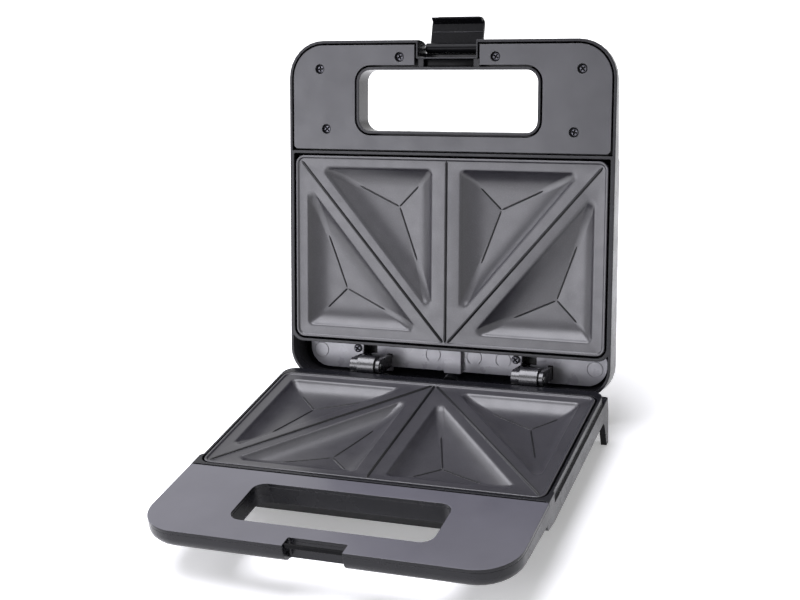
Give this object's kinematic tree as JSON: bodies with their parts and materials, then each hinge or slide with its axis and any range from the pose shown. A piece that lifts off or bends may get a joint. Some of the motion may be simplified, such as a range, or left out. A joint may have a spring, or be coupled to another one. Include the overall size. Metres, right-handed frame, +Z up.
{
  "type": "sandwich toaster",
  "caption": "Hinged sandwich toaster with pocketed non-stick plates, looped handles with finger windows and a flip-over front latch.",
  "frame": {"origin": "middle of the bounding box of the open toaster, on the table surface under its feet", "axes": "+Z up, -Y towards the handles and the user, +Y towards the hinge, +X to the user's right"},
  "size_m": [0.2264, 0.3075, 0.257],
  "materials": {
    "housing": "polished black thermoplastic moulding",
    "housing_cover": "polished black thermoplastic cover",
    "base_cover": "satin black thermoplastic cover, dulled by hands",
    "panel_plastic": "grey thermoplastic panel",
    "pan_plastic": "matt black thermoplastic pan",
    "latch_plastic": "satin black plastic",
    "hinge_plastic": "dark grey glass-filled plastic",
    "foot_rubber": "matt black rubber",
    "plate_coating": "satin dark grey non-stick coating on cast aluminium",
    "black_screws": "black oxide steel screws",
    "zinc_steel": "zinc plated steel",
    "tray_steel": "aluminised sheet steel",
    "element_steel": "sheathed heating tube",
    "pin_steel": "bright steel pin",
    "ceramic_body": "unglazed ceramic",
    "lens_amber": "translucent red indicator lens",
    "lamp_glass": "small neon lamp"
  },
  "bodies": {
    "base": {"base_shell": "housing", "base_grip_cover": "base_cover", "base_grip_screws": "black_screws", "base_pan": "pan_plastic", "base_pan_screws": "black_screws", "foot_pads": "foot_rubber", "latch_catch": "latch_plastic", "lower_plate": "plate_coating", "lower_element": "element_steel", "lower_element_clips": "zinc_steel", "lower_tray": "tray_steel", "lower_plate_screws": "zinc_steel", "lower_tray_screws": "zinc_steel", "thermal_fuse": "ceramic_body", "terminal_block": "ceramic_body", "cord_gland": "foot_rubber", "wire_guide": "latch_plastic", "base_hinge_left": "hinge_plastic", "base_hinge_right": "hinge_plastic", "base_hinge_screws": "zinc_steel", "hinge_pin_left": "pin_steel", "hinge_pin_right": "pin_steel"},
    "lid": {"lid_shell": "housing", "lid_grip_cover": "housing_cover", "lid_grip_screws": "black_screws", "lid_hinge_panel": "panel_plastic", "lid_hinge_left": "hinge_plastic", "lid_hinge_right": "hinge_plastic", "lid_hinge_screws": "black_screws", "upper_plate": "plate_coating", "upper_element": "element_steel", "upper_element_clips": "zinc_steel", "upper_tray": "tray_steel", "upper_plate_screws": "zinc_steel", "upper_tray_screws": "zinc_steel", "thermostat": "ceramic_body", "lamp_lenses": "lens_amber", "lamps": "lamp_glass", "latch_pin": "pin_steel"},
    "latch": {"latch_lever": "latch_plastic"}
  },
  "joints": [
    {"name": "lid_hinge", "type": "hinge", "parent": "base", "child": "lid", "pos_m": [0, 0.06535, 0.036], "axis": [-1, 0, 0], "range_deg": [-105.7, 0]},
    {"name": "latch_pivot", "type": "hinge", "parent": "lid", "child": "latch", "pos_m": [0, 0.13591, 0.23898], "axis": [-1, 0, 0], "range_deg": [-103, 0]}
  ]
}
